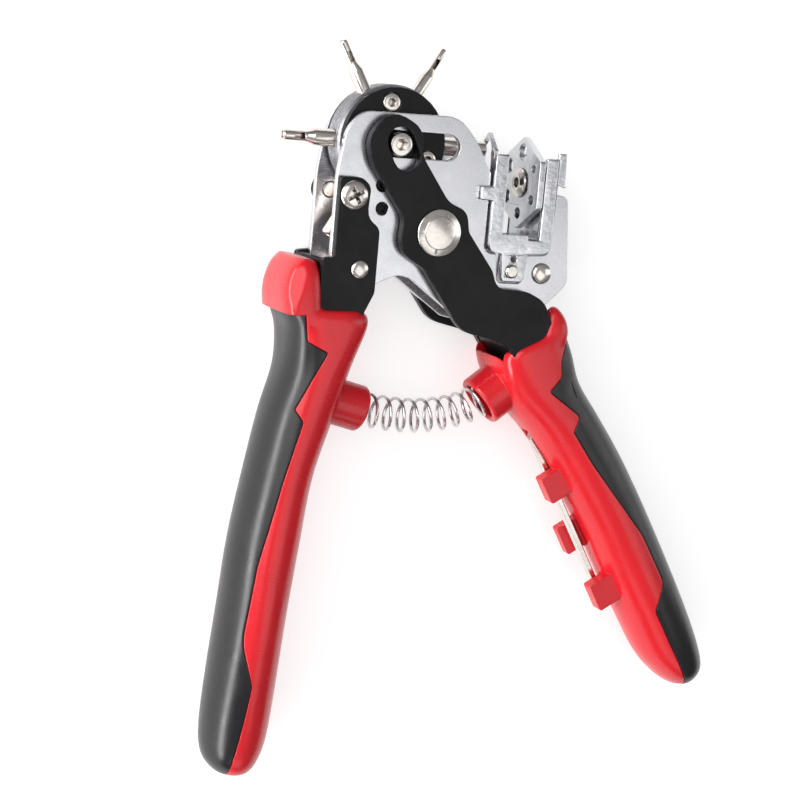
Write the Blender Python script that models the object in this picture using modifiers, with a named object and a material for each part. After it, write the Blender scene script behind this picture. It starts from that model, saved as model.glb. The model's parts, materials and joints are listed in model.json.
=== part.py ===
"""Rotary hole punch: a lever-driven turret punch with a turning die wheel.

The tool lies on its back: +X is its right-hand side, +Y points to the jaw and +Z out of its front face.
Shapes are drawn in millimetres around the lever pivot, in the tool's middle plane. One empty, tool_origin,
moves everything so that the world's origin is the centre of the bounding box's underside.
"""

from math import atan2, cos, pi, radians, sin, tan

import bmesh
import bpy
from mathutils import Matrix, Vector

MM = 0.001
FIT = 0.3  # gap between pieces that touch
RUNNING = 0.12  # radial gap of a turning fit

# Where the pivot lies in the world, in mm
PIVOT_AT = (-26.85, 53.41, 13.3)

# Levels above the middle plane, in mm; the tool is the same behind it
DRUM_HALF = 4.0
CHEEK_TOP = 6.2
PLATE_IN, PLATE_OUT = 6.7, 8.7
ARM_IN, ARM_OUT = 9.0, 12.0
FLANGE_OUT = 11.2
BRACKET_OUT = 10.6
HEAD_TOP = 13.3

# Turret and slide
TURRET = (-13.0, 23.3)
STATIONS = 6
DRUM_R = 15.8
CHEEK_R = 15.2
TUBE_SEAT_R = 11.5
TUBE_CONE_R, TUBE_NECK_R, TUBE_TIP_R = 21.8, 23.6, 30.5
WIDEST_TUBE_R = 2.6
# Punched hole diameters, from the station that faces the die wheel, counter-clockwise
PUNCH_SIZES = (4.5, 2.0, 2.5, 3.0, 3.5, 4.0)
AXLE_R = 2.6
AXLE_END_R = 1.7
SLOT_HALF = 3.6
SLOT_LEFT, SLOT_RIGHT = -20.6, 5.8
SHOE_REACH = 3.2

# Die wheel: a hexagonal plate across the tool, turning on a hollow rivet along X
WHEEL_AXIS_Y = 14.6
WHEEL_X = (29.8, 31.6)
WHEEL_R = 13.2
DIE_CIRCLE_R = TURRET[1] - WHEEL_AXIS_Y
DIE_CLEARANCE = 0.15

# Bracket that carries the wheel
BRACKET_X = (16.5, 36.3)
BRACKET_Y = (-4.6, 22.7)
BRACKET_WALL = 3.9
BRACKET_FLOOR = 0.5

# Return spring between the grips' sockets
SPRING_R = 4.6
SPRING_WIRE = 0.5
SPRING_TURNS = 12
SOCKET_LEFT, SOCKET_LEFT_AIM = (-13.8, -51.8), radians(-15)
SOCKET_RIGHT, SOCKET_RIGHT_AIM = (23.3, -49.4), radians(218)
SOCKET_DEPTH = 7.0

# Hex key stowed on the right grip
KEY_TOP, KEY_END = (40.8, -58.2), (70.2, -107.5)
KEY_R = 1.25
KEY_LEG = 7.0


# ---------- scene and helpers ----------

def clear_scene():
    for obj in list(bpy.data.objects):
        bpy.data.objects.remove(obj, do_unlink=True)


def new_collection(name, hidden=False):
    made = bpy.data.collections.new(name)
    made.hide_render = hidden
    bpy.context.scene.collection.children.link(made)
    return made


def material(name, colour, roughness, metallic):
    made = bpy.data.materials.new(name)
    made.use_nodes = True
    shader = made.node_tree.nodes["Principled BSDF"]
    shader.inputs["Base Color"].default_value = (*colour, 1.0)
    shader.inputs["Roughness"].default_value = roughness
    shader.inputs["Metallic"].default_value = metallic
    made.diffuse_color = (*colour, 1.0)
    return made


def add_object(name, mesh, place=(0, 0, 0)):
    """A new object at a place in tool millimetres; its mesh is in metres around that place."""
    made = bpy.data.objects.new(name, mesh)
    parts.objects.link(made)
    made.parent = tool_origin
    made.location = Vector(place) * MM
    return made


def as_helper(obj):
    """Turns an object into a cutter or a joining shape that is not part of the product."""
    parts.objects.unlink(obj)
    helpers.objects.link(obj)
    obj.hide_render = True
    obj.display_type = "WIRE"
    return obj


def finish(obj, look, bevel=0.0, segments=1, smooth=30):
    if bevel:
        rounded = obj.modifiers.new("Edges", "BEVEL")
        rounded.width = bevel * MM
        rounded.segments = segments
        rounded.limit_method = "ANGLE"
        rounded.angle_limit = radians(40)
    obj.data.materials.clear()
    obj.data.materials.append(look)
    obj.data.shade_smooth()
    obj.data.set_sharp_from_angle(angle=radians(smooth))
    return obj


def boolean(obj, other, operation="DIFFERENCE"):
    step = obj.modifiers.new(operation.title(), "BOOLEAN")
    step.operation = operation
    step.solver = "EXACT"
    step.object = other
    return obj


def cut(obj, *cutters):
    for cutter in cutters:
        boolean(obj, cutter)
    return obj


def join(obj, *others):
    for other in others:
        boolean(obj, other, "UNION")
    return obj


# ---------- outlines and basic solids ----------

def rounded_outline(corners, steps=5):
    """Points of a polygon whose corners (x, y, radius) are rounded with arcs."""
    points = []
    count = len(corners)
    for index, (x, y, radius) in enumerate(corners):
        here = Vector((x, y))
        if radius <= 0:
            points.append(here)
            continue
        before = Vector(corners[index - 1][:2]) - here
        after = Vector(corners[(index + 1) % count][:2]) - here
        half = before.angle(after) / 2
        back = min(radius / tan(half), before.length * 0.49, after.length * 0.49)
        radius = back * tan(half)
        centre = here + (before.normalized() + after.normalized()).normalized() * (radius / sin(half))
        start = here + before.normalized() * back - centre
        end = here + after.normalized() * back - centre
        turn = start.angle_signed(end)
        for step in range(steps + 1):
            turned = Matrix.Rotation(-turn * step / steps, 2) @ start
            points.append(centre + turned)
    return points


def circle_points(x, y, radius, count=24):
    turns = [2 * pi * k / count for k in range(count)]
    return [Vector((x + radius * cos(a), y + radius * sin(a))) for a in turns]


def slot_points(x0, x1, y, half, steps=8):
    """A round-ended slot along X."""
    right = [Vector((x1 + half * cos(a), y + half * sin(a))) for a in arc(-90, 90, steps)]
    left = [Vector((x0 + half * cos(a), y + half * sin(a))) for a in arc(90, 270, steps)]
    return right + left


def arc(start, end, steps):
    return [radians(start + (end - start) * k / steps) for k in range(steps + 1)]


def turned_points(points, angle, centre):
    spin = Matrix.Rotation(angle, 2)
    centre = Vector(centre)
    return [spin @ point + centre for point in points]


def flat(name, outline, low, high, holes=()):
    """A plate from z = low to high, cut through by holes; a filled 2D curve made into a mesh."""
    curve = bpy.data.curves.new(name, "CURVE")
    curve.dimensions = "2D"
    curve.fill_mode = "BOTH"
    curve.extrude = (high - low) / 2 * MM
    for points in (outline, *holes):
        spline = curve.splines.new("POLY")
        spline.points.add(len(points) - 1)
        spline.use_cyclic_u = True
        for point, at in zip(spline.points, points):
            point.co = (at[0] * MM, at[1] * MM, 0, 1)
    guide = bpy.data.objects.new(name + "_curve", curve)
    parts.objects.link(guide)
    graph = bpy.context.evaluated_depsgraph_get()
    mesh = bpy.data.meshes.new_from_object(guide.evaluated_get(graph))
    bpy.data.objects.remove(guide)
    shape = bmesh.new()
    shape.from_mesh(mesh)
    bmesh.ops.remove_doubles(shape, verts=shape.verts, dist=1e-6)
    bmesh.ops.recalc_face_normals(shape, faces=shape.faces)
    shape.to_mesh(mesh)
    shape.free()
    mesh.name = name
    return add_object(name, mesh, (0, 0, (low + high) / 2))


def box(name, x, y, z):
    """A block between the two limits given for each axis."""
    shape = bmesh.new()
    bmesh.ops.create_cube(shape, size=1)
    size = Vector((x[1] - x[0], y[1] - y[0], z[1] - z[0])) * MM
    bmesh.ops.scale(shape, vec=size, verts=shape.verts)
    mesh = bpy.data.meshes.new(name)
    shape.to_mesh(mesh)
    shape.free()
    return add_object(name, mesh, (sum(x) / 2, sum(y) / 2, sum(z) / 2))


def turned(name, profile, place, axis="Z", steps=32):
    """A turned piece: profile points (radius, height) run down its outer side, in mm."""
    mesh = bpy.data.meshes.new(name)
    shape = bmesh.new()
    verts = [shape.verts.new((radius * MM, 0, height * MM)) for radius, height in profile]
    for first, second in zip(verts, verts[1:]):
        shape.edges.new((first, second))
    shape.to_mesh(mesh)
    shape.free()
    made = add_object(name, mesh, place)
    screw = made.modifiers.new("Turn", "SCREW")
    screw.steps = steps
    screw.render_steps = steps
    screw.use_merge_vertices = True
    screw.merge_threshold = 0.00001
    if axis == "X":
        made.rotation_euler = (0, radians(90), 0)
    elif axis == "-X":
        made.rotation_euler = (0, radians(-90), 0)
    elif axis == "-Z":
        made.rotation_euler = (radians(180), 0, 0)
    elif axis != "Z":
        made.rotation_euler = axis
    return made


def bar(radius, low, high, chamfer=0.0):
    """Profile of a plain cylinder with its ends chamfered."""
    if not chamfer:
        return [(0, high), (radius, high), (radius, low), (0, low)]
    return [
        (0, high), (radius - chamfer, high), (radius, high - chamfer),
        (radius, low + chamfer), (radius - chamfer, low), (0, low),
    ]


# ---------- frame ----------

PLATE_OUTLINE = (
    (-30.0, -20.8, 2), (-30.0, 14.0, 30), (-28.4, 26.0, 12), (-24.6, 31.6, 7),
    (5.0, 31.9, 9), (11.0, 25.4, 6), (16.1, 17.0, 2), (16.1, -5.0, 3),
    (20.2, -5.4, 0.5), (21.0, -13.4, 1.5), (28.8, -13.4, 1.5), (29.4, -5.4, 0.5), (36.7, -5.0, 2),
    (36.7, 12.4, 0.5), (41.3, 11.8, 2.5), (43.8, -13.0, 5), (37.6, -19.0, 3), (22.0, -27.5, 4),
    (11.5, -25.4, 3), (-5.6, -13.4, 2), (-10.0, -12.4, 6), (-16.5, -15.5, 2), (-18.6, -20.8, 2),
)
PIVOT_R = 4.4
PIVOT_HEAD_R = 6.55
ARM_RIVET = (-22.3, -11.1)
FRAME_RIVET = (34.9, -10.3)
ARM_SCREW = (-25.6, 8.9)
STOP_PINS = ((-16.5, 11.9), (-16.1, 5.5))
TONGUE_SCREW = (24.3, -9.9)
TONGUE_HOLE, TONGUE_HOLE_R = (24.7, -6.3), 1.0
RIVET_R = 1.5


def side_plate(name, low, high):
    holes = [
        slot_points(SLOT_LEFT + SLOT_HALF, SLOT_RIGHT - SLOT_HALF, TURRET[1], SLOT_HALF),
        circle_points(0, 0, PIVOT_R + FIT, 28),
        circle_points(*ARM_RIVET, RIVET_R + FIT, 16),
        circle_points(*FRAME_RIVET, RIVET_R + FIT, 16),
        circle_points(*ARM_SCREW, 2.0 + FIT, 16),
        circle_points(*STOP_PINS[0], 1.5 + FIT, 16),
        circle_points(*STOP_PINS[1], 1.5 + FIT, 16),
    ]
    return flat(name, rounded_outline(PLATE_OUTLINE, 4), low, high, holes)


ARM_OUTLINE = (
    (-33.4, -62.0, 2), (-33.2, -8.6, 1), (-29.9, -8.0, 0.4), (-29.9, 13.7, 1.5), (-23.6, 13.7, 3),
    (-20.7, 11.6, 3), (-21.2, 3.0, 6), (-17.2, 0.2, 3), (-17.2, -17.5, 4), (-21.2, -26.0, 3),
    (-25.5, -45.0, 4), (-31.0, -62.0, 2),
)


ARM_BACK_LEFT = -28.9


def fixed_arm():
    """The steel channel in the left grip: two flanges outside the plates, joined by a web."""
    holes = [
        circle_points(*ARM_RIVET, RIVET_R + FIT, 16),
        circle_points(*ARM_SCREW, 2.0 + FIT, 16),
    ]
    outline = rounded_outline(ARM_OUTLINE, 3)
    front = flat("fixed_arm", outline, ARM_IN - 0.1, FLANGE_OUT, holes)
    inset = [(max(x, ARM_BACK_LEFT) if y > -8.3 else x, y, radius) for x, y, radius in ARM_OUTLINE]
    back = as_helper(flat("fixed_arm_back", rounded_outline(inset, 3), -FLANGE_OUT, -ARM_IN + 0.1, holes))
    web = as_helper(box("fixed_arm_web", (-33.3, -31.2), (-60.0, -9.0), (-10.0, 10.0)))
    return finish(join(front, web, back), black_steel)


def rivet(name, at, head_r, shank_r, top=PLATE_OUT, dome=1.0):
    """A rivet right through, with a low domed head on each side."""
    head = [(0, top + FIT + dome), (head_r * 0.6, top + FIT + dome * 0.85), (head_r, top + FIT)]
    profile = head + [(shank_r, top + FIT), (shank_r, -top - FIT)]
    profile += [(head_r, -top - FIT), (head_r * 0.6, -top - FIT - dome * 0.85), (0, -top - FIT - dome)]
    return finish(turned(name, profile, (*at, 0), "Z", 16), nickel)


def pivot_stud(name, side):
    """A short shouldered stud: its head holds the lever arm, its shank is riveted in the plate."""
    profile = [
        (0, HEAD_TOP), (PIVOT_R, HEAD_TOP), (PIVOT_R + 0.5, HEAD_TOP - 0.25),
        (PIVOT_HEAD_R - 0.3, ARM_OUT + 0.75), (PIVOT_HEAD_R, ARM_OUT + 0.55), (PIVOT_HEAD_R, ARM_OUT + FIT),
        (PIVOT_R, ARM_OUT + FIT), (PIVOT_R, PLATE_IN), (0, PLATE_IN),
    ]
    return finish(turned(name, profile, (0, 0, 0), "Z" if side > 0 else "-Z"), nickel)


def both_sides(name, look, profile, spot, steps=12):
    """The same small turned piece on the front and on the back."""
    for side, axis in (("front", "Z"), ("back", "-Z")):
        finish(turned(f"{side}_{name}", profile, (*spot, 0), axis, steps), look)


def arm_screws():
    """Countersunk screws that hold the arm's flanges: short, so that the tubes pass between them."""
    top = FLANGE_OUT + FIT
    profile = [
        (0, top + 0.5), (1.3, top + 0.5), (1.6, top + 1.2), (3.4, top + 1.0), (4.0, top + 0.4),
        (4.0, top), (2.0, top), (2.0, PLATE_IN), (0, PLATE_IN),
    ]
    both_sides("arm_screw", nickel, profile, ARM_SCREW, 16)


def stop_pins():
    for name, spot in (("upper_stop_pin", STOP_PINS[0]), ("lower_stop_pin", STOP_PINS[1])):
        both_sides(name, black_steel, bar(1.5, PLATE_IN, PLATE_OUT + 0.1, 0.3), spot)


def spacer(name, spot):
    """A tube on a through rivet that keeps the plates apart."""
    inner, outer, half = RIVET_R + RUNNING, 3.2, PLATE_IN - FIT
    tube = [(outer, half), (outer, -half), (inner, -half), (inner, half), (outer, half)]
    finish(turned(name, tube, (*spot, 0), "Z", 16), nickel)


# ---------- die bracket and wheel ----------

def die_bracket():
    """A cast cradle: front and back frames outside the plates, a floor and a right-hand wall."""
    left, right = BRACKET_X
    low, high = BRACKET_Y
    inner_left, inner_right = left + BRACKET_WALL, right - BRACKET_WALL
    outline = rounded_outline((
        (left, high, 0.8), (inner_left, high, 0.5), (inner_left, BRACKET_FLOOR, 0), (28.6, BRACKET_FLOOR, 0),
        (28.8, -0.9, 0.3), (inner_right, -0.9, 0.3), (inner_right, high - 0.4, 0.5), (right, high - 0.4, 0.8),
        (right, low, 2.4), (29.0, low - 0.3, 0.4), (28.3, -12.9, 1.2), (21.4, -12.9, 1.2), (20.8, low - 0.5, 0.4),
        (left, low, 3.0), (left, 9.6, 0), (12.9, 9.7, 0.4), (12.8, 13.4, 0.4), (left, 13.5, 0),
    ), 3)
    holes = [circle_points(*TONGUE_SCREW, 1.2 + FIT, 14), circle_points(*TONGUE_HOLE, TONGUE_HOLE_R, 14)]
    front = flat("die_bracket", outline, ARM_IN, BRACKET_OUT, holes)
    back = as_helper(flat("bracket_back", outline, -BRACKET_OUT, -ARM_IN, holes))
    floor = as_helper(box("bracket_floor", (16.9, 35.9), (low + 0.6, -1.0), (-9.6, 9.6)))
    wall = as_helper(box("bracket_wall", (WHEEL_X[1] + 0.7, 35.6), (low + 1.2, 19.6), (-9.5, 9.5)))
    rails = [
        as_helper(box("bracket_rail", (17.2, 19.9), (low + 0.9, 21.4), (side * 7.6 - 2.2, side * 7.6 + 2.2)))
        for side in (-1, 1)
    ]
    bore = as_helper(turned("bracket_bore", bar(3.2, -4, 12), (30.5, WHEEL_AXIS_Y, 0), "X", 24))
    cradle = join(front, floor, wall, *rails, back, *bracket_ears())
    return finish(cut(cradle, bore), cast_chrome)


def bracket_ears():
    """Sheet ears on the bracket's right-hand side, one on each face."""
    right = BRACKET_X[1]
    outline = rounded_outline((
        (right - 0.6, 15.4, 0), (right + 2.8, 14.2, 0.3), (right + 2.4, 24.0, 0.5), (right - 0.2, 24.0, 0.3),
    ), 2)
    front = flat("ear_front", outline, ARM_IN + 0.2, BRACKET_OUT - 0.2)
    back = flat("ear_back", outline, -BRACKET_OUT + 0.2, -ARM_IN - 0.2)
    return as_helper(front), as_helper(back)


def bracket_screws():
    profile = [
        (0, BRACKET_OUT + 0.8), (1.5, BRACKET_OUT + 0.8), (2.0, BRACKET_OUT + FIT), (1.2, BRACKET_OUT + FIT),
        (1.2, PLATE_IN), (0, PLATE_IN),
    ]
    both_sides("bracket_screw", nickel, profile, TONGUE_SCREW)


def stripper_plate():
    """The pointed sheet that pulls the work off the tube on the way back.

    Its keyhole runs down far enough for the next tube to swing through.
    """
    x = (18.2, 19.6)
    outline = [(-5.0, 0.6), (5.0, 0.6), (5.0, 23.4), (0.0, 28.2), (-5.0, 23.4)]
    slot = WIDEST_TUBE_R + FIT
    keyhole = [Vector((slot * cos(a), TURRET[1] + slot * sin(a))) for a in arc(-20, 200, 14)]
    keyhole += [(-slot - 0.3, 19.0), (-slot - 0.3, 4.6), (-slot + 0.9, 3.4), (slot - 0.9, 3.4)]
    keyhole += [(slot + 0.3, 4.6), (slot + 0.3, 19.0)]
    plate = flat("stripper_plate", outline, -(x[1] - x[0]) / 2, (x[1] - x[0]) / 2, [keyhole])
    plate.location = Vector(((x[0] + x[1]) / 2, 0, 0)) * MM
    plate.rotation_euler = (0, radians(90), 0)
    return finish(plate, cast_chrome)


def die_wheel():
    """A hexagonal plate with six die holes, its origin on its axle."""
    thick = WHEEL_X[1] - WHEEL_X[0]
    corners = [(WHEEL_R * cos(a), WHEEL_R * sin(a), 1.0) for a in arc(90, 390, 5)]
    holes = [circle_points(0, 0, 2.6 + RUNNING, 24)]
    for index, size in enumerate(PUNCH_SIZES):
        around = radians(90 + 360 / STATIONS * index)
        holes.append(circle_points(
            DIE_CIRCLE_R * cos(around), DIE_CIRCLE_R * sin(around), size / 2 + DIE_CLEARANCE, 16
        ))
    wheel = flat("die_wheel", rounded_outline(corners, 3), -thick / 2, thick / 2, holes)
    wheel.location = Vector((sum(WHEEL_X) / 2, WHEEL_AXIS_Y, 0)) * MM
    wheel.rotation_euler = (0, radians(90), 0)
    return finish(wheel, nickel)


def die_wheel_axle():
    """The hollow rivet that the wheel turns on, flared in the bracket's wall."""
    face = WHEEL_X[0] - FIT
    far = 35.9
    profile = [
        (1.5, -face + 0.9), (2.4, -face + 1.1), (4.1, -face + 0.5), (4.3, -face),
        (2.6, -face), (2.6, -far - 0.4), (1.5, -far - 0.4), (1.5, -face + 0.9),
    ]
    axle = turned("die_wheel_axle", profile, (0, WHEEL_AXIS_Y, 0), "-X", 24)
    return finish(axle, nickel)


# ---------- lever ----------

LEVER_OUTLINE = (
    (-23.4, 24.4, 9), (-17.2, 32.9, 9), (-7.0, 28.0, 9), (-6.8, 20.8, 8), (2.4, 8.6, 6), (8.4, 6.2, 4),
    (9.4, 0.6, 4), (17.8, -9.8, 5), (19.8, -14.9, 4), (29.6, -15.4, 7), (35.2, -17.9, 7), (39.4, -26.0, 7),
    (50.0, -47.0, 4), (46.0, -54.0, 3), (39.0, -50.0, 3), (24.6, -30.6, 5), (9.6, -27.2, 9), (-3.4, -10.2, 5),
    (-11.4, -5.6, 6), (-10.6, 3.6, 6), (-21.4, 17.4, 12),
)
LEVER_SLOT = (23.1, 27.6)
LEVER_SLOT_HALF = 4.0


def lever_arm(name, low, high):
    lean = atan2(TURRET[1], TURRET[0])
    slot = turned_points(slot_points(LEVER_SLOT[0], LEVER_SLOT[1], 0, LEVER_SLOT_HALF), lean, (0, 0))
    holes = [slot, circle_points(0, 0, PIVOT_R + RUNNING, 28), circle_points(*ARM_SPACER, 1.5 + FIT, 14)]
    return finish(flat(name, rounded_outline(LEVER_OUTLINE, 4), low, high, holes), black_steel)


ARM_SPACER = (34.0, -36.4)


def arm_spacer():
    """A shouldered pin, headed over in both arms, that holds them apart inside the grip."""
    profile = [
        (0, ARM_OUT + 0.2), (1.5, ARM_OUT + 0.2), (1.5, ARM_IN - FIT), (2.4, ARM_IN - FIT),
        (2.4, -ARM_IN + FIT), (1.5, -ARM_IN + FIT), (1.5, -ARM_OUT - 0.2), (0, -ARM_OUT - 0.2),
    ]
    return finish(turned("arm_spacer", profile, (*ARM_SPACER, 0), "Z", 14), nickel)


def lever_web():
    """A strip between the two arms that closes the lever's inner edge where it enters the grip."""
    start, end = Vector((25.2, -31.4)), Vector((31.2, -39.5))
    along = (end - start).normalized()
    inward = Vector((-along.y, along.x))
    outline = [start + inward * 0.3, end + inward * 0.3, end + inward * 1.1, start + inward * 1.1]
    return finish(flat("lever_web", outline, -ARM_IN + FIT, ARM_IN - FIT), black_steel)


# ---------- turret and slide ----------

def slide_shoe(name, low, high):
    x, y = TURRET
    outline = slot_points(x - SHOE_REACH, x + SHOE_REACH, y, SLOT_HALF - FIT)
    return finish(flat(name, outline, low, high, [circle_points(x, y, AXLE_R + FIT, 20)]), black_steel)


def slider_axle():
    """The turret's axle: a socket-head screw from the front, running in the lever arms' slots."""
    top, bottom = ARM_OUT - 0.6, -ARM_OUT + 0.6
    profile = [
        (0, top), (2.7, top), (3.3, top - 0.5), (3.3, ARM_IN + 0.5), (AXLE_R, ARM_IN + 0.5),
        (AXLE_R, -ARM_IN), (AXLE_END_R, -ARM_IN), (AXLE_END_R, bottom + 0.3), (AXLE_END_R - 0.3, bottom), (0, bottom),
    ]
    axle = turned("slider_axle", profile, (*TURRET, 0), "Z", 24)
    socket = as_helper(turned("axle_socket", bar(1.75, ARM_OUT - 2.6, ARM_OUT + 1), (*TURRET, 0), "Z", 6))
    return finish(cut(axle, socket), nickel)


def slider_nut():
    profile = [
        (3.3, -ARM_IN - 0.5), (3.3, -ARM_OUT + 1.0), (2.8, -ARM_OUT + 0.5), (AXLE_END_R + FIT, -ARM_OUT + 0.5),
        (AXLE_END_R + FIT, -ARM_IN - 0.5), (3.3, -ARM_IN - 0.5),
    ]
    return finish(turned("slider_nut", profile, (*TURRET, 0), "Z", 24), nickel)


def turret_drum():
    """The drum, with a seat for each tube and threaded holes for the cheeks' screws."""
    x, y = TURRET
    hub = AXLE_R + RUNNING
    profile = [
        (hub, DRUM_HALF), (DRUM_R - 0.6, DRUM_HALF), (DRUM_R, DRUM_HALF - 0.6), (DRUM_R, 1.5),
        (DRUM_R - 0.5, 1.1), (DRUM_R - 0.5, -1.1), (DRUM_R, -1.5), (DRUM_R, 0.6 - DRUM_HALF),
        (DRUM_R - 0.6, -DRUM_HALF), (hub, -DRUM_HALF), (hub, DRUM_HALF),
    ]
    drum = turned("turret_drum", profile, (x, y, 0), "Z", 36)
    for index in range(STATIONS):
        seat = turned(
            f"tube_seat_{index}", bar(tube_body_r(index) + RUNNING, TUBE_SEAT_R - FIT, DRUM_R + 3),
            (x, y, 0), station_turn(index), 14,
        )
        cut(drum, as_helper(seat))
    for spot in CHEEK_SCREWS:
        cut(drum, as_helper(turned("cheek_thread", bar(1.2, -6, 6), (*spot, 0), "Z", 12)))
    return finish(drum, grey_steel)


def station_turn(index):
    """Rotation that lays a piece turned about Z along a station's direction."""
    spin = Matrix.Rotation(2 * pi * index / STATIONS, 3, "Z") @ Matrix.Rotation(radians(90), 3, "Y")
    return spin.to_euler()


def tube_body_r(index):
    return min(0.55 + PUNCH_SIZES[index] * 0.62, WIDEST_TUBE_R)


CHEEK_SCREWS = [
    (TURRET[0] + 11.1 * cos(a), TURRET[1] + 11.1 * sin(a)) for a in (radians(99), radians(219), radians(339))
]


def cheek(name, low, high):
    holes = [circle_points(*TURRET, AXLE_R + RUNNING, 24)]
    for spot in CHEEK_SCREWS:
        holes.append(circle_points(*spot, 2.5 + FIT, 18))
    return finish(flat(name, circle_points(*TURRET, CHEEK_R, 36), low, high, holes), black_steel)


def cheek_screw(name, spot):
    """A screw right through the drum, its countersunk head in the front cheek, peened over in the back one."""
    top = CHEEK_TOP + 0.1
    profile = [
        (0, top - 0.7), (0.9, top - 0.7), (1.1, top), (2.3, top), (2.5, top - 0.3), (2.5, DRUM_HALF + FIT),
        (1.0, DRUM_HALF + FIT), (1.0, -DRUM_HALF - FIT), (2.5, -DRUM_HALF - FIT), (2.5, 0.3 - top),
        (2.3, -top), (0, -top),
    ]
    finish(turned(name, profile, (*spot, 0), "Z", 14), nickel)


def punch_tube(index):
    """A screw-in cutting tube: body, cone and thin cutting end, bored through from the tip."""
    size = PUNCH_SIZES[index]
    body, tip = tube_body_r(index), size / 2
    bore = tip * 0.72
    profile = [
        (bore, TUBE_TIP_R - 0.4), (tip - 0.08, TUBE_TIP_R), (tip, TUBE_TIP_R - 0.3), (tip, TUBE_NECK_R),
        (body, TUBE_CONE_R), (body, TUBE_SEAT_R), (0, TUBE_SEAT_R), (0, TUBE_CONE_R - 1.0),
        (bore, TUBE_CONE_R - 1.0), (bore, TUBE_TIP_R - 0.4),
    ]
    name = "punch_tube_" + str(size).replace(".", "_")
    return finish(turned(name, profile, (*TURRET, 0), station_turn(index), 14), nickel)


# ---------- grips ----------

def section_ring(shape, outer, inner, half_z, square, count):
    """A rounded section between two points of the grip's outline, as vertices of a bmesh."""
    outer, inner = Vector(outer), Vector(inner)
    centre, half = (outer + inner) / 2, (outer - inner) / 2
    ring = []
    for k in range(count):
        a = 2 * pi * k / count
        across = abs(cos(a)) ** (2 / square) * (1 if cos(a) > 0 else -1)
        up = abs(sin(a)) ** (2 / square) * (1 if sin(a) > 0 else -1)
        at = centre + half * across
        ring.append(shape.verts.new(Vector((at.x, at.y, half_z * up)) * MM))
    return ring


def loft(name, sections, count=16):
    """A closed skin through rounded sections (outer point, inner point, half thickness, squareness)."""
    shape = bmesh.new()
    rings = [section_ring(shape, *section, count) for section in sections]
    for first, second in zip(rings, rings[1:]):
        for k in range(count):
            shape.faces.new((first[k], first[k - 1], second[k - 1], second[k]))
    shape.faces.new(rings[0])
    shape.faces.new(list(reversed(rings[-1])))
    if shape.calc_volume(signed=True) < 0:
        bmesh.ops.reverse_faces(shape, faces=shape.faces)
    mesh = bpy.data.meshes.new(name)
    shape.to_mesh(mesh)
    shape.free()
    return add_object(name, mesh)


def shrunk(sections, by):
    """The same sections drawn in by a wall thickness."""
    made = []
    for outer, inner, half_z, square in sections:
        outer, inner = Vector(outer), Vector(inner)
        if (outer - inner).length < 3 * by:
            continue  # the rounded end
        step = (outer - inner).normalized() * by
        made.append((outer - step, inner + step, half_z - by, square))
    return made


LEFT_GRIP = (
    ((-40.6, -22.6), (-18.6, -22.6), 12.4, 3.4),
    ((-41.0, -24.6), (-16.7, -24.6), 13.3, 3.4),
    ((-39.4, -30.0), (-16.6, -28.0), 13.3, 3.2),
    ((-39.8, -40.0), (-19.6, -38.5), 13.2, 2.4),
    ((-43.3, -52.8), (-24.0, -55.5), 13.0, 2.15),
    ((-46.3, -68.0), (-28.0, -71.0), 12.9, 2.0),
    ((-49.7, -89.0), (-30.3, -91.0), 13.0, 2.0),
    ((-51.4, -109.0), (-32.4, -110.0), 13.3, 2.0),
    ((-53.2, -128.0), (-33.8, -128.5), 12.8, 2.0),
    ((-54.2, -143.0), (-35.1, -144.0), 11.8, 2.0),
    ((-53.4, -151.2), (-36.8, -151.6), 10.2, 2.0),
    ((-50.4, -155.6), (-39.4, -156.0), 7.4, 2.0),
    ((-47.6, -156.8), (-42.8, -157.1), 4.0, 2.0),
)
LEFT_GUARD = (
    ((-41.2, -27.5), (-31.8, -27.5), 12.9, 4.5),
    ((-42.4, -23.5), (-31.8, -24.0), 12.9, 4.5),
    ((-42.8, -18.0), (-32.0, -18.5), 12.6, 4.5),
    ((-41.6, -12.4), (-32.6, -12.8), 11.8, 4.0),
    ((-39.4, -8.8), (-33.4, -9.5), 10.0, 3.0),
)
LEFT_BORDER = (
    (-70, -25.0, 0), (-37.2, -24.2, 0), (-35.9, -31.5, 1), (-30.4, -34.2, 0.5), (-34.0, -41.5, 3),
    (-38.0, -50.2, 1), (-35.7, -53.4, 1), (-39.9, -69.5, 20), (-45.2, -93.7, 30), (-47.9, -116.0, 20),
    (-44.6, -128.2, 3), (-45.6, -136.0, 6), (-47.6, -150.0, 8), (-48.6, -170.0, 0), (-70, -170.0, 0),
)
RIGHT_GRIP = (
    ((44.6, -24.4), (24.9, -33.9), 12.9, 4.0),
    ((45.6, -27.4), (24.6, -36.6), 13.3, 3.6),
    ((48.6, -33.0), (26.4, -42.0), 13.3, 3.2),
    ((53.0, -41.6), (30.3, -49.1), 13.2, 2.4),
    ((61.0, -51.6), (40.2, -58.7), 13.0, 2.15),
    ((69.9, -63.1), (50.8, -72.3), 12.9, 2.0),
    ((79.6, -78.0), (61.3, -87.2), 13.0, 2.0),
    ((89.6, -94.6), (69.8, -101.7), 13.3, 2.0),
    ((98.5, -110.0), (78.5, -115.6), 13.0, 2.0),
    ((105.1, -122.6), (86.2, -127.4), 12.0, 2.0),
    ((107.9, -130.6), (92.2, -133.6), 10.2, 2.0),
    ((106.2, -135.0), (97.0, -136.9), 7.2, 2.0),
    ((103.8, -136.8), (99.4, -137.7), 4.0, 2.0),
)
RIGHT_COLLAR = (
    ((45.4, -28.6), (34.0, -33.6), 12.9, 3.8),
    ((45.2, -25.4), (34.8, -30.0), 12.9, 3.8),
    ((43.9, -22.2), (35.8, -26.0), 12.5, 3.6),
    ((41.6, -19.8), (36.9, -22.0), 11.6, 3.2),
    ((40.0, -19.2), (38.2, -20.0), 10.4, 3.0),
)
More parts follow.
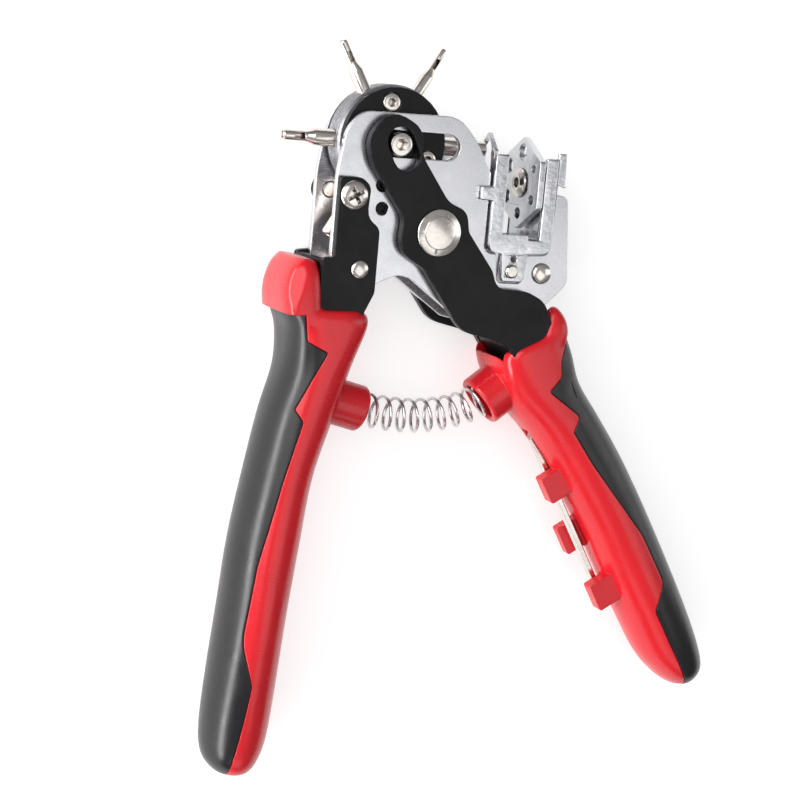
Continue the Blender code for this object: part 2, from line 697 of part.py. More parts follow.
RIGHT_BORDER = (
    (90, -28.0, 0), (44.0, -27.6, 0), (42.2, -34.8, 2), (42.8, -39.6, 1), (39.4, -43.8, 0.5), (50.4, -51.0, 2),
    (48.8, -55.6, 1), (56.0, -64.8, 10), (76.0, -87.0, 20), (85.0, -101.4, 4), (83.6, -110.6, 4),
    (90.6, -121.6, 10), (100.6, -136.0, 8), (104.0, -150.0, 0), (130, -150.0, 0),
)
SKIN = 2.4  # thickness of the soft overmould


def socket_turn(aim):
    """Rotation that lays a piece turned about Z along a direction in the tool's plane."""
    spin = Matrix.Rotation(aim, 3, "Z") @ Matrix.Rotation(radians(90), 3, "Y")
    return spin.to_euler()


def socket_shapes(side, mouth, aim, length, outer_r):
    """The spring socket's outer cylinder and its bore, both pointing out of the grip."""
    turn = socket_turn(aim)
    boss = turned(f"{side}_boss", bar(outer_r, -length, 0, 0.6), (*mouth, 0), turn, 24)
    bore_r = SPRING_R + SPRING_WIRE + 0.5
    bore = turned(f"{side}_bore", bar(bore_r, -SOCKET_DEPTH, 3), (*mouth, 0), turn, 24)
    return as_helper(boss), as_helper(bore)


def grip_pair(side, sections, border, outer, inner, slots, cutters):
    """The hard core and the soft overmould of one grip.

    The overmould is the part of the grip's skin inside the border outline. The core is the rest,
    with outer shapes that the overmould's region also cuts and inner shapes that it doesn't.
    """
    line = rounded_outline(border, 4)
    core = join(loft(f"{side}_grip_core", sections), *outer)
    cut(core, as_helper(flat(f"{side}_skin_region", grown(line, FIT), -20, 20)))
    join(core, as_helper(loft(f"{side}_kernel", shrunk(sections, SKIN + FIT))), *inner)
    cut(core, *slots, *cutters)
    skin = loft(f"{side}_grip_overmould", sections)
    region = as_helper(flat(f"{side}_overmould_region", line, -20, 20))
    boolean(skin, region, "INTERSECT")
    cut(skin, as_helper(loft(f"{side}_inside", shrunk(sections, SKIN))), *slots)
    return finish(core, red_plastic), finish(skin, black_rubber)


def empty(name):
    made = bpy.data.objects.new(name, None)
    parts.objects.link(made)
    return made


# ---------- build ----------

clear_scene()
parts = new_collection("rotary_hole_punch")
helpers = new_collection("helpers", hidden=True)
tool_origin = empty("tool_origin")
tool_origin.location = Vector(PIVOT_AT) * MM

chrome_plate = material("bright_chrome", (0.78, 0.78, 0.80), 0.22, 1.0)
cast_chrome = material("cast_chrome", (0.72, 0.72, 0.74), 0.3, 1.0)
nickel = material("nickel", (0.74, 0.69, 0.64), 0.25, 1.0)
black_steel = material("black_steel", (0.03, 0.03, 0.033), 0.45, 0.0)
grey_steel = material("grey_steel", (0.35, 0.35, 0.37), 0.35, 1.0)
red_plastic = material("red_plastic", (0.60, 0.02, 0.03), 0.35, 0.0)
black_rubber = material("black_rubber", (0.025, 0.025, 0.027), 0.55, 0.0)
spring_steel = material("spring_steel", (0.7, 0.7, 0.7), 0.25, 1.0)


def grown(points, by):
    """An outline pushed outwards by a gap, each point along its mean normal."""
    area = sum(a.x * b.y - b.x * a.y for a, b in zip(points, points[1:] + points[:1]))
    side = 1 if area > 0 else -1
    made = []
    for index, point in enumerate(points):
        before = point - points[index - 1]
        after = points[(index + 1) % len(points)] - point
        if before.length < 1e-6 or after.length < 1e-6:
            continue
        along = (before.normalized() + after.normalized()).normalized()
        made.append(point + Vector((along.y, -along.x)) * by * side)
    return made


def arm_pockets(side, outline, inner, outer):
    """Slots that take an arm's two flat sides, a gap wider all round."""
    line = grown(outline, FIT)
    front = flat(f"{side}_pocket_front", line, inner - FIT, outer + FIT)
    back = flat(f"{side}_pocket_back", line, -outer - FIT, -inner + FIT)
    return [as_helper(front), as_helper(back)]


def along_key(name, length, across, z):
    """A block beside the hex key: its limits along the key, across it away from the grip, and in z."""
    block = box(name, length, across, z)
    aim = Vector(KEY_END) - Vector(KEY_TOP)
    turn = atan2(aim.y, aim.x)
    block.rotation_euler = (0, 0, turn)
    middle = Vector((sum(length) / 2, sum(across) / 2))
    at = Matrix.Rotation(turn, 2) @ middle + Vector(KEY_TOP)
    block.location = Vector((at.x, at.y, sum(z) / 2)) * MM
    return as_helper(block)


def key_clips():
    """Three fingers that hold the key: two in front of it and one behind."""
    low, front, back = KEY_R - 0.4, 5.8, 4.6
    return [
        along_key("clip_top", (12.8, 21.3), (-4.4, 9.0), (low, front)),
        along_key("clip_middle", (32.8, 42.3), (-3.6, 10.0), (-back, -low)),
        along_key("clip_end", (51.6, 60.5), (-4.0, 10.0), (low, front)),
    ]


def guard_facet(name, side):
    """A block whose underside trims the guard's outer corner, on the front (side 1) or the back (-1)."""
    block = box(name, (-30, 30), (-30, 30), (-10, 10))
    outwards = Vector((-0.52, 0.22, 0.825 * side))
    block.rotation_euler = outwards.to_track_quat("Z", "Y").to_euler()
    block.location = (Vector((-38.7, -17.0, 12.4 * side)) + outwards * 10) * MM
    return as_helper(block)


def left_grip():
    boss, bore = socket_shapes("left", SOCKET_LEFT, SOCKET_LEFT_AIM, 14, 6.6)
    guard = loft("left_guard", LEFT_GUARD)
    cut(guard, guard_facet("guard_facet_front", 1), guard_facet("guard_facet_back", -1))
    guard = as_helper(guard)
    slots = arm_pockets("left", rounded_outline(ARM_OUTLINE, 3), ARM_IN - 0.1, FLANGE_OUT)
    slots.append(as_helper(box("left_web_slot", (-33.6, -30.9), (-61.0, 0.0), (-10.0, 10.0))))
    return grip_pair("left", LEFT_GRIP, LEFT_BORDER, [guard], [boss], slots, [bore])


def right_grip():
    boss, bore = socket_shapes("right", SOCKET_RIGHT, SOCKET_RIGHT_AIM, 12, 7.6)
    slots = arm_pockets("right", rounded_outline(LEVER_OUTLINE, 4), ARM_IN, ARM_OUT)
    mouth = rounded_outline([(31.0, -43.0, 2), (43.0, -37.0, 2), (54.0, -16.0, 0), (16.0, -24.0, 0)], 3)
    slots.insert(0, as_helper(flat("right_mouth", mouth, -ARM_IN, ARM_IN)))
    gap = KEY_R + FIT
    groove = along_key("key_groove", (-gap, 61.4), (-12.0, gap + 0.4), (-gap, gap))
    bend = along_key("key_bend", (-gap - 0.2, 4.2), (-12.1, 4.2), (-gap - 0.1, gap + 0.1))
    pocket = along_key("key_pocket", (-gap - 0.1, gap + 0.1), (-12.2, KEY_LEG + FIT), (-gap - 0.2, gap + 0.2))
    collar = as_helper(loft("right_collar", RIGHT_COLLAR))
    inner = [boss, *key_clips()]
    return grip_pair("right", RIGHT_GRIP, RIGHT_BORDER, [collar], inner, slots, [groove, bend, pocket, bore])


def wire(name, points, radius, sides):
    """A round wire along points, with filled ends."""
    curve = bpy.data.curves.new(name, "CURVE")
    curve.dimensions = "3D"
    curve.bevel_depth = radius * MM
    curve.bevel_resolution = sides
    curve.use_fill_caps = True
    spline = curve.splines.new("POLY")
    spline.points.add(len(points) - 1)
    for point, at in zip(spline.points, points):
        point.co = (*(Vector(at) * MM), 1)
    made = bpy.data.objects.new(name, curve)
    parts.objects.link(made)
    made.parent = tool_origin
    return made


def bezier(a, b, c, d, t):
    u = 1 - t
    return a * u**3 + b * 3 * u * u * t + c * 3 * u * t * t + d * t**3


def return_spring():
    """A coil that bows between the two sockets, seated in both of them."""
    seat = SOCKET_DEPTH - SPRING_WIRE - FIT
    left_aim = Vector((cos(SOCKET_LEFT_AIM), sin(SOCKET_LEFT_AIM)))
    right_aim = Vector((cos(SOCKET_RIGHT_AIM), sin(SOCKET_RIGHT_AIM)))
    start = Vector(SOCKET_LEFT) - left_aim * seat
    end = Vector(SOCKET_RIGHT) - right_aim * seat
    reach = 17
    per_turn = 10
    points = []
    for k in range(SPRING_TURNS * per_turn + 1):
        t = k / (SPRING_TURNS * per_turn)
        path = [bezier(start, start + left_aim * reach, end + right_aim * reach, end, t + e) for e in (0, 1e-3)]
        along = (path[1] - path[0]).normalized()
        side = Vector((-along.y, along.x))
        a = 2 * pi * k / per_turn
        at = path[0] + side * SPRING_R * cos(a)
        points.append((at.x, at.y, SPRING_R * sin(a)))
    spring = wire("return_spring", points, SPRING_WIRE, 1)
    spring.data.materials.append(spring_steel)
    return spring


def hex_key():
    top, end = Vector(KEY_TOP), Vector(KEY_END)
    along = (end - top).normalized()
    inward = Vector((-along.y, along.x))
    bend = 2.4
    centre = top + (along + inward) * bend
    points = [top + inward * KEY_LEG]
    for a in arc(0, 90, 4):
        points.append(centre - along * bend * cos(a) - inward * bend * sin(a))
    points.append(end)
    key = wire("hex_key", [(p.x, p.y, 0) for p in points], KEY_R, 1)
    key.data.materials.append(nickel)
    return key


def assemble():
    for name, low, high in (
        ("front_side_plate", PLATE_IN, PLATE_OUT),
        ("back_side_plate", -PLATE_OUT, -PLATE_IN),
    ):
        finish(side_plate(name, low, high), chrome_plate)
    fixed_arm()
    rivet("arm_rivet", ARM_RIVET, 2.5, RIVET_R, FLANGE_OUT, 0.7)
    rivet("frame_rivet", FRAME_RIVET, 3.0, RIVET_R)
    pivot_stud("front_pivot_stud", 1)
    pivot_stud("back_pivot_stud", -1)
    arm_screws()
    stop_pins()
    spacer("left_plate_spacer", ARM_RIVET)
    spacer("right_plate_spacer", FRAME_RIVET)
    die_bracket()
    bracket_screws()
    stripper_plate()
    die_wheel()
    die_wheel_axle()
    lever_arm("front_lever_arm", ARM_IN, ARM_OUT)
    lever_arm("back_lever_arm", -ARM_OUT, -ARM_IN)
    arm_spacer()
    lever_web()
    slide_shoe("front_slide_shoe", PLATE_IN, PLATE_OUT - 0.1)
    slide_shoe("back_slide_shoe", -PLATE_OUT + 0.1, -PLATE_IN)
    slider_axle()
    slider_nut()
    turret_drum()
    cheek("front_cheek", DRUM_HALF + FIT, CHEEK_TOP)
    cheek("back_cheek", -CHEEK_TOP, -DRUM_HALF - FIT)
    for number, spot in enumerate(CHEEK_SCREWS, 1):
        cheek_screw(f"cheek_screw_{number}", spot)
    for index in range(STATIONS):
        punch_tube(index)
    left_grip()
    right_grip()
    return_spring()
    hex_key()


assemble()
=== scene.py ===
"""Looks of the rotary hole punch: materials, smooth grips, spring and small details, light and camera."""

import json
from math import atan2, cos, pi, radians, sin, tan

import bmesh
import bpy
from mathutils import Matrix, Vector


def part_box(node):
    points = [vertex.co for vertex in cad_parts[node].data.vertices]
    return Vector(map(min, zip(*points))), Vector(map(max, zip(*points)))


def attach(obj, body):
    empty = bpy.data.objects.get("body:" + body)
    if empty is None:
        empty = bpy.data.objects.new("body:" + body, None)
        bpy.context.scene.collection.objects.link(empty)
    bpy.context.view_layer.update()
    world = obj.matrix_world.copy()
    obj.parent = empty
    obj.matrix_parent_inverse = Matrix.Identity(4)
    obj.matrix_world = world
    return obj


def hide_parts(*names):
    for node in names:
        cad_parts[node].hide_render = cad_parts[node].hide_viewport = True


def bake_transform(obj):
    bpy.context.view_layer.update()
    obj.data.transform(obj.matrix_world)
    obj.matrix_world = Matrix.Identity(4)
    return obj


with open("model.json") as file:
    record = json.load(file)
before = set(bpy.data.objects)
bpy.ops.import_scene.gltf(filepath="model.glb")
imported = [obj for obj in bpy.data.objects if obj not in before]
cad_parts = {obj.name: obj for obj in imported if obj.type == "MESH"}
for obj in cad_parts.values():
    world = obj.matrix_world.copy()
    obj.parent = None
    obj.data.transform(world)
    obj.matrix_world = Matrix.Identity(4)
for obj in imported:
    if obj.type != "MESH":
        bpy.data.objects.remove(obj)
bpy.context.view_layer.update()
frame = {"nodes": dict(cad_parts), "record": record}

# Lengths below are in mm around the lever's pivot, at the tool's middle plane, unless they say metres
MM = 0.001
MIDPLANE_M = 0.0133
low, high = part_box("front_pivot_stud")
PIVOT = Vector(((low[0] + high[0]) / 2, (low[1] + high[1]) / 2, MIDPLANE_M)) * 1000
# The gap between two pieces that don't touch
FIT = 0.3
# Heights above the middle plane: the lever arms' faces and the top of the fixed arm's flange
ARM_IN, ARM_OUT, FLANGE_OUT = 9.0, 12.0, 11.2
TURRET = (-13.0, 23.3)

made_parts = bpy.data.collections.new("looks")
bpy.context.scene.collection.children.link(made_parts)


# ---------- materials ----------

def add_node(tree, kind, links=None, **settings):
    """A shader node; settings are its properties, links its inputs by name or number."""
    made = tree.nodes.new("ShaderNode" + kind)
    for name, value in settings.items():
        setattr(made, name, value)
    for name, value in (links or {}).items():
        socket = made.inputs[name]
        if isinstance(value, bpy.types.NodeSocket):
            tree.links.new(value, socket)
        else:
            socket.default_value = value
    return made


def noise(tree, coords, scale, detail=4.0, stretch=None, turn=0.0):
    at = coords
    if stretch:
        turned = {"Vector": coords, "Scale": stretch, "Rotation": (0, 0, turn)}
        mapping = add_node(tree, "Mapping", turned)
        at = mapping.outputs["Vector"]
    made = add_node(tree, "TexNoise", {"Vector": at, "Scale": scale, "Detail": detail, "Roughness": 0.6})
    return made.outputs["Fac"]


def spread(tree, value, from_low, from_high, to_low, to_high):
    made = add_node(tree, "MapRange", {
        "Value": value, "From Min": from_low, "From Max": from_high, "To Min": to_low, "To Max": to_high,
    })
    return made.outputs["Result"]


def maths(tree, operation, first, second):
    return add_node(tree, "Math", {0: first, 1: second}, operation=operation).outputs["Value"]


def mixed(tree, factor, first, second):
    made = add_node(tree, "Mix", {0: factor, 6: first, 7: second}, data_type="RGBA")
    return made.outputs[2]


WORN_ROUGH = 0.3
# How far the painted shade in crevices reaches, in mm
CREVICE_SHADE_REACH = 1.6
# Each set of scratches: its turn in radians and its scale across
SCRATCHES = ((0.35, 1.0), (-0.9, 1.3), (1.7, 0.8))


def surface(name, colour, tint, rough, *, metallic=0.0, patch=120, grain=3500, grain_depth=0.012,
            scratch=0.35, scratch_depth=0.01, wear=None, edge=0.25, ring=None, lump=None,
            specular=0.5, crevice_shade=None):
    """A procedural finish: patchy colour, uneven gloss, fine grain, scratches three ways and worn edges.

    lump is the scale and depth of broad waves, crevice_shade the colour of the painted shade darkening the
    crevices, and ring the centre, plane, pitch and depth of turning lines.
    """
    made = bpy.data.materials.new(name)
    made.use_nodes = True
    tree = made.node_tree
    shader = tree.nodes["Principled BSDF"]
    shader.inputs["Metallic"].default_value = metallic
    shader.inputs["Specular IOR Level"].default_value = specular
    coords = add_node(tree, "TexCoord").outputs["Object"]
    patches = noise(tree, coords, patch, 5)
    base = mixed(tree, spread(tree, patches, 0.35, 0.65, 0, 1), (*colour, 1), (*tint, 1))
    fine = noise(tree, coords, grain, 3)
    gloss = spread(tree, noise(tree, coords, patch * 3.1, 6), 0.3, 0.7, rough[0], rough[1])
    marks = []
    for turn, across in SCRATCHES:
        streaks = noise(tree, coords, 160 * across, 6, (1.0, 26.0, 9.0), turn)
        marks.append(spread(tree, streaks, 0.60, 0.68, 0, 1))
    marked = maths(tree, "MAXIMUM", maths(tree, "MAXIMUM", marks[0], marks[1]), marks[2])
    marked = maths(tree, "MULTIPLY", marked, spread(tree, patches, 0.4, 0.6, 0.2, 1.0))
    gloss = maths(tree, "ADD", gloss, maths(tree, "MULTIPLY", marked, scratch * 0.25))
    # Painted shade: an ambient-occlusion mask darkens crevices and recesses towards a dark colour
    if crevice_shade:
        reach = {"Distance": CREVICE_SHADE_REACH * MM}
        near = add_node(tree, "AmbientOcclusion", reach, samples=8, only_local=True).outputs["AO"]
        base = mixed(tree, spread(tree, near, 0.75, 0.35, 0, 0.85), base, (*crevice_shade, 1))
    normal_in = {}
    if edge:
        rounded = add_node(tree, "Bevel", {"Radius": edge * MM}, samples=6).outputs["Normal"]
        normal_in = {"Normal": rounded}
        if wear:
            geometry = add_node(tree, "NewGeometry").outputs["Normal"]
            bend = add_node(tree, "VectorMath", {0: rounded, 1: geometry}, operation="DOT_PRODUCT")
            worn = spread(tree, bend.outputs["Value"], 0.985, 0.86, 0, 1)
            uneven = spread(tree, noise(tree, coords, 700, 6), 0.42, 0.62, 0, 1)
            worn = maths(tree, "MULTIPLY", worn, uneven)
            base = mixed(tree, worn, base, (*wear, 1))
            gloss = mixed(tree, worn, gloss, (WORN_ROUGH, WORN_ROUGH, WORN_ROUGH, 1))
    height = maths(tree, "MULTIPLY", fine, grain_depth)
    height = maths(tree, "SUBTRACT", height, maths(tree, "MULTIPLY", marked, scratch_depth))
    if lump:
        wave = maths(tree, "MULTIPLY", noise(tree, coords, lump[0], 2), lump[1])
        height = maths(tree, "ADD", height, wave)
    if ring:
        moved = add_node(tree, "VectorMath", {0: coords, 1: ring[0]}, operation="SUBTRACT").outputs["Vector"]
        flat = add_node(tree, "VectorMath", {0: moved, 1: ring[1]}, operation="MULTIPLY").outputs["Vector"]
        far = add_node(tree, "VectorMath", {0: flat}, operation="LENGTH").outputs["Value"]
        wave = add_node(tree, "Math", {0: maths(tree, "MULTIPLY", far, ring[2])}, operation="SINE")
        lines = add_node(tree, "TexNoise", {"W": maths(tree, "MULTIPLY", far, ring[2] * 2.2)},
                         noise_dimensions="1D").outputs["Fac"]
        both = maths(tree, "ADD", maths(tree, "MULTIPLY", wave.outputs["Value"], 0.4), lines)
        height = maths(tree, "ADD", height, maths(tree, "MULTIPLY", both, ring[3]))
        gloss = maths(tree, "ADD", gloss, spread(tree, lines, 0.3, 0.7, -0.05, 0.08))
    bump = add_node(tree, "Bump", {"Height": height, "Distance": MM, "Strength": 1.0, **normal_in})
    tree.links.new(base, shader.inputs["Base Color"])
    tree.links.new(gloss, shader.inputs["Roughness"])
    tree.links.new(bump.outputs["Normal"], shader.inputs["Normal"])
    return made


turret_at = tuple((Vector((*TURRET, 0)) + PIVOT) * MM)
# The plated casting and the nickel darken their crevices with painted shade
FINISH = {
    "bright_chrome": surface(
        "chrome plate", (0.74, 0.74, 0.76), (0.68, 0.685, 0.71), (0.2, 0.3), metallic=1.0, patch=60,
        grain=2600, grain_depth=0.004, scratch=0.2, scratch_depth=0.0015, edge=0.35),
    "cast_chrome": surface(
        "plated casting", (0.72, 0.72, 0.74), (0.60, 0.61, 0.63), (0.14, 0.28), metallic=1.0, patch=140,
        grain=1500, grain_depth=0.014, lump=(380, 0.08), scratch=0.3, edge=0.4, crevice_shade=(0.12, 0.12, 0.13)),
    "nickel": surface(
        "nickel plate", (0.80, 0.75, 0.70), (0.74, 0.69, 0.64), (0.14, 0.24), metallic=1.0, patch=260,
        grain=3000, grain_depth=0.004, scratch=0.35, scratch_depth=0.003, edge=0.2,
        crevice_shade=(0.05, 0.04, 0.035)),
    "black_steel": surface(
        "black steel", (0.004, 0.004, 0.0045), (0.008, 0.008, 0.009), (0.28, 0.4), patch=90, grain=2600,
        grain_depth=0.012, scratch=0.3, scratch_depth=0.003, wear=(0.08, 0.08, 0.085), edge=0.35,
        specular=0.2),
    "grey_steel": surface(
        "turned grey steel", (0.30, 0.30, 0.32), (0.22, 0.22, 0.235), (0.22, 0.36), metallic=1.0, patch=150,
        ring=(turret_at, (1, 1, 0), 5200, 0.02), wear=(0.6, 0.6, 0.62), edge=0.3),
    "red_plastic": surface(
        "red plastic", (0.62, 0.010, 0.018), (0.56, 0.009, 0.016), (0.2, 0.3), patch=45, grain=2200,
        grain_depth=0.005, scratch=0.15, scratch_depth=0.0012, edge=0.5, lump=(160, 0.01)),
    "black_rubber": surface(
        "soft black grip", (0.005, 0.005, 0.006), (0.008, 0.008, 0.009), (0.26, 0.34), patch=50, grain=2600,
        grain_depth=0.014, scratch=0.12, scratch_depth=0.0012, edge=0.6, lump=(130, 0.015), specular=0.5),
    "spring_steel": surface(
        "spring wire", (0.72, 0.72, 0.73), (0.58, 0.57, 0.56), (0.16, 0.3), metallic=1.0, patch=300,
        grain=3000, grain_depth=0.006, scratch=0.6, edge=0),
}


# ---------- mesh helpers ----------

def to_world(points):
    return [(Vector(p) + PIVOT) * MM for p in points]


SHARP_EDGE = 35
SAME_POINT_M = 1e-7


def mesh_object(name, verts, faces, look=None):
    """A closed mesh whose faces point outwards, shaded smooth but for its sharp edges."""
    mesh = bpy.data.meshes.new(name)
    mesh.from_pydata([tuple(v) for v in verts], [], faces)
    mesh.validate()
    shape = bmesh.new()
    shape.from_mesh(mesh)
    bmesh.ops.remove_doubles(shape, verts=shape.verts, dist=SAME_POINT_M)
    bmesh.ops.recalc_face_normals(shape, faces=shape.faces)
    if shape.calc_volume(signed=True) < 0:
        bmesh.ops.reverse_faces(shape, faces=shape.faces)
    shape.to_mesh(mesh)
    shape.free()
    made = bpy.data.objects.new(name, mesh)
    made_parts.objects.link(made)
    mesh.shade_smooth()
    mesh.set_sharp_from_angle(angle=radians(SHARP_EDGE))
    if look:
        mesh.materials.append(FINISH[look])
    return made


def arc(start, end, steps):
    return [radians(start + (end - start) * k / steps) for k in range(steps + 1)]


def rounded_outline(corners, steps=8):
    """Points of a polygon whose corners (x, y, radius) are rounded with arcs."""
    points = []
    count = len(corners)
    for index, (x, y, radius) in enumerate(corners):
        here = Vector((x, y))
        if radius <= 0:
            points.append(here)
            continue
        before = Vector(corners[index - 1][:2]) - here
        after = Vector(corners[(index + 1) % count][:2]) - here
        half = before.angle(after) / 2
        back = min(radius / tan(half), before.length * 0.49, after.length * 0.49)
        radius = back * tan(half)
        centre = here + (before.normalized() + after.normalized()).normalized() * (radius / sin(half))
        start = here + before.normalized() * back - centre
        end = here + after.normalized() * back - centre
        turn = start.angle_signed(end)
        for step in range(steps + 1):
            points.append(centre + Matrix.Rotation(-turn * step / steps, 2) @ start)
    return points


def grown(points, by):
    area = sum(a.x * b.y - b.x * a.y for a, b in zip(points, points[1:] + points[:1]))
    side = 1 if area > 0 else -1
    made = []
    for index, point in enumerate(points):
        before = point - points[index - 1]
        after = points[(index + 1) % len(points)] - point
        if before.length < 1e-6 or after.length < 1e-6:
            continue
        along = (before.normalized() + after.normalized()).normalized()
        made.append(point + Vector((along.y, -along.x)) * by * side)
    return made


def prism(name, outline, bottom, top, place=None):
    """A straight prism over an outline; place is a 4x4 matrix in mm, the identity if left out."""
    count = len(outline)
    place = place or Matrix()
    verts = [place @ Vector((p[0], p[1], z)) for z in (bottom, top) for p in outline]
    faces = [(k, (k + 1) % count, count + (k + 1) % count, count + k) for k in range(count)]
    faces += [tuple(range(count))[::-1], tuple(range(count, 2 * count))]
    return mesh_object(name, to_world(verts), faces)


def lathe(name, profile, place, steps=48):
    """A closed turned piece; profile points (radius, height) start and end on the axis."""
    rings = []
    verts, faces = [], []
    for radius, height in profile:
        if radius < 1e-6:
            rings.append([len(verts)])
            verts.append(place @ Vector((0, 0, height)))
            continue
        rings.append(list(range(len(verts), len(verts) + steps)))
        turns = [2 * pi * k / steps for k in range(steps)]
        verts += [place @ Vector((radius * cos(a), radius * sin(a), height)) for a in turns]
    for first, second in zip(rings, rings[1:]):
        for k in range(steps):
            quad = [first[k % len(first)], first[(k + 1) % len(first)]]
            quad += [second[(k + 1) % len(second)], second[k % len(second)]]
            face = list(dict.fromkeys(quad))
            if len(face) > 2:
                faces.append(face)
    return mesh_object(name, to_world(verts), faces)


def apply_modifiers(obj):
    graph = bpy.context.evaluated_depsgraph_get()
    mesh = bpy.data.meshes.new_from_object(obj.evaluated_get(graph))
    obj.modifiers.clear()
    obj.data = mesh
    return obj


def boolean(obj, other, operation="DIFFERENCE"):
    """Applies a Boolean and removes the other shape."""
    step = obj.modifiers.new("Step", "BOOLEAN")
    step.operation = operation
    step.solver = "MANIFOLD"
    step.object = other
    apply_modifiers(obj)
    bpy.data.objects.remove(other)
    return obj


MOULD_GRID = 0.6


def moulded(obj, rounds):
    """Remakes a closed shape from small even faces and relaxes them, so that its corners round off."""
    even = obj.modifiers.new("Even", "REMESH")
    even.mode = "VOXEL"
    even.voxel_size = MOULD_GRID * MM
    relax = obj.modifiers.new("Relax", "SMOOTH")
    relax.factor = 0.5
    relax.iterations = rounds
    return apply_modifiers(obj)


def resmooth(obj, look, angle=30):
    """Gives a made piece its finish and its smooth shading."""
    obj.data.materials.clear()
    obj.data.materials.append(FINISH[look])
    obj.data.shade_smooth()
    obj.data.set_sharp_from_angle(angle=radians(angle))
    return obj


# ---------- CAD nodes: better materials and rounded edges ----------

def smoothing(angle):
    """A modifier's node group that drops the CAD's own normals and shades it smooth but for sharp edges."""
    group = bpy.data.node_groups.new(f"smooth {angle}", "GeometryNodeTree")
    group.interface.new_socket("Geometry", in_out="INPUT", socket_type="NodeSocketGeometry")
    group.interface.new_socket("Geometry", in_out="OUTPUT", socket_type="NodeSocketGeometry")
    start = group.nodes.new("NodeGroupInput")
    end = group.nodes.new("NodeGroupOutput")
    plain = group.nodes.new("GeometryNodeRemoveAttribute")
    plain.inputs["Name"].default_value = "custom_normal"
    faces = group.nodes.new("GeometryNodeSetShadeSmooth")
    faces.domain = "FACE"
    edges = group.nodes.new("GeometryNodeSetShadeSmooth")
    edges.domain = "EDGE"
    edges.inputs["Shade Smooth"].default_value = False
    bend = group.nodes.new("GeometryNodeInputMeshEdgeAngle")
    over = group.nodes.new("ShaderNodeMath")
    over.operation = "GREATER_THAN"
    over.inputs[1].default_value = radians(angle)
    link = group.links.new
    link(start.outputs[0], plain.inputs["Geometry"])
    link(plain.outputs["Geometry"], faces.inputs["Geometry"])
    link(faces.outputs["Geometry"], edges.inputs["Geometry"])
    link(bend.outputs["Unsigned Angle"], over.inputs[0])
    link(over.outputs["Value"], edges.inputs["Selection"])
    link(edges.outputs["Geometry"], end.inputs[0])
    return group


SMOOTH = smoothing(32)
WELD_M = 2e-6
# These are one flat shape each, so their faces can be joined up before the edges are rounded
PLAIN_SHEETS = ("front_side_plate", "back_side_plate", "front_lever_arm", "back_lever_arm")


def refine(node, look, bevel=0.0):
    """Gives a CAD node its finish, and rounds its edges by modifiers only."""
    obj = frame["nodes"][node]
    if not obj.data.materials:
        obj.data.materials.append(FINISH[look])
    for index in range(len(obj.data.materials)):
        obj.data.materials[index] = FINISH[look]
    weld = obj.modifiers.new("Weld", "WELD")
    weld.merge_threshold = WELD_M
    if node in PLAIN_SHEETS:
        whole = obj.modifiers.new("Whole faces", "DECIMATE")
        whole.decimate_type = "DISSOLVE"
        whole.angle_limit = radians(0.5)
    if bevel:
        edge = obj.modifiers.new("Edges", "BEVEL")
        edge.width = bevel * MM
        edge.segments = 2
        edge.limit_method = "ANGLE"
        edge.angle_limit = radians(40)
        edge.use_clamp_overlap = False
    smooth = obj.modifiers.new("Smooth", "NODES")
    smooth.node_group = SMOOTH
    flat = obj.modifiers.new("Flat faces", "WEIGHTED_NORMAL")
    flat.keep_sharp = True
    return obj


# How wide each node's edges are rounded
BEVELS = {
    "front_side_plate": 0.25, "back_side_plate": 0.25, "fixed_arm": 0.25, "die_bracket": 0.3,
    "front_lever_arm": 0.35, "back_lever_arm": 0.35, "stripper_plate": 0.2, "die_wheel": 0.15,
}
for part in frame["record"]["subparts"]:
    refine(part["node"], part["material_slot"], BEVELS.get(part["node"], 0.0))


# ---------- turned pieces, finer than their CAD nodes ----------

# Heights above the middle plane: the side plates' faces, the turret's cheek and the stud's head
PLATE_IN, PLATE_OUT, CHEEK_TOP, HEAD_TOP = 6.7, 8.7, 6.2, 13.3
DRUM_R, DRUM_HALF = 15.8, 4.0
AXLE_R, AXLE_END_R = 2.6, 1.7
STATIONS = 6
PUNCH_SIZES = (4.5, 2.0, 2.5, 3.0, 3.5, 4.0)
WIDEST_TUBE_R = 2.6
# How far along its station a tube's seat, cone, neck and tip lie
TUBE_SEAT_R, TUBE_CONE_R, TUBE_NECK_R, TUBE_TIP_R = 11.5, 21.8, 23.6, 30.5


def upright(x, y, side=1):
    """Stands a turned piece on the front (side 1) or upside down on the back (side -1)."""
    place = Matrix.Translation((x, y, 0))
    return place if side > 0 else place @ Matrix.Rotation(pi, 4, "X")


def centre_of(node):
    """Where a CAD node's middle lies."""
    low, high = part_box(node)
    middle = (Vector(low) + Vector(high)) / 2
    return Vector(middle) * 1000 - PIVOT


def stand_for(piece, node, body, look):
    """Finishes a made piece and puts it in a CAD node's place."""
    resmooth(piece, look, 28)
    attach(piece, body)
    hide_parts(node)
    return piece


def ring_points(radius, count, turn=0.0):
    turns = [turn + 2 * pi * k / count for k in range(count)]
    return [Vector((radius * cos(a), radius * sin(a))) for a in turns]


def cross_points(reach, half):
    """The outline of a cross recess."""
    return [Vector(p) for p in (
        (reach, -half), (reach, half), (half, half), (half, reach), (-half, reach), (-half, half),
        (-reach, half), (-reach, -half), (-half, -half), (-half, -reach), (half, -reach), (half, -half),
    )]


def pivot_studs():
    profile = [
        (0, HEAD_TOP), (4.3, HEAD_TOP), (4.5, HEAD_TOP - 0.06), (4.62, HEAD_TOP - 0.16),
        (6.15, ARM_OUT + 0.82),
        (6.38, ARM_OUT + 0.74), (6.5, ARM_OUT + 0.6), (6.55, ARM_OUT + 0.45), (6.55, ARM_OUT + FIT),
        (4.4, ARM_OUT + FIT), (4.4, PLATE_IN), (0, PLATE_IN),
    ]
    for name, side in (("front", 1), ("back", -1)):
        stud = lathe(f"{name}_stud", profile, upright(0, 0, side), 96)
        stand_for(stud, f"{name}_pivot_stud", "frame", "nickel")


